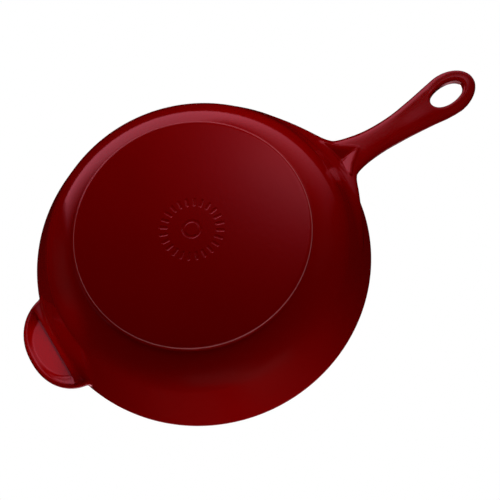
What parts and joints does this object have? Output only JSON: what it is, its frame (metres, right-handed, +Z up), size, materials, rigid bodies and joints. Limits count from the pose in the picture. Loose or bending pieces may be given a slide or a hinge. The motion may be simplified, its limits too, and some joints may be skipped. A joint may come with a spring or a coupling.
{
  "type": "skillet",
  "caption": "Round flared cooking pan in glossy cherry enamel with a matte black inside, a long handle with a hang hole and a short helper tab opposite it.",
  "frame": {"origin": "centre of the flat underside of the base, on the bowl's axis", "axes": "+Z up along the bowl's axis, out of its mouth; +X from the axis towards the long handle; the helper handle lies along -X"},
  "size_m": [0.4243, 0.266, 0.0685],
  "materials": {
    "cast_iron": "as cast, sand textured, sealed under the enamel",
    "cherry_enamel": "high gloss fired enamel with a faint orange peel",
    "black_enamel": "matte, finely pebbled fired enamel"
  },
  "bodies": {
    "root": {"iron_casting": "cast_iron", "base_enamel": "cherry_enamel", "wall_enamel": "cherry_enamel", "long_handle_enamel": "cherry_enamel", "helper_handle_enamel": "cherry_enamel", "rim_enamel": "black_enamel", "interior_enamel": "black_enamel"}
  },
  "joints": []
}
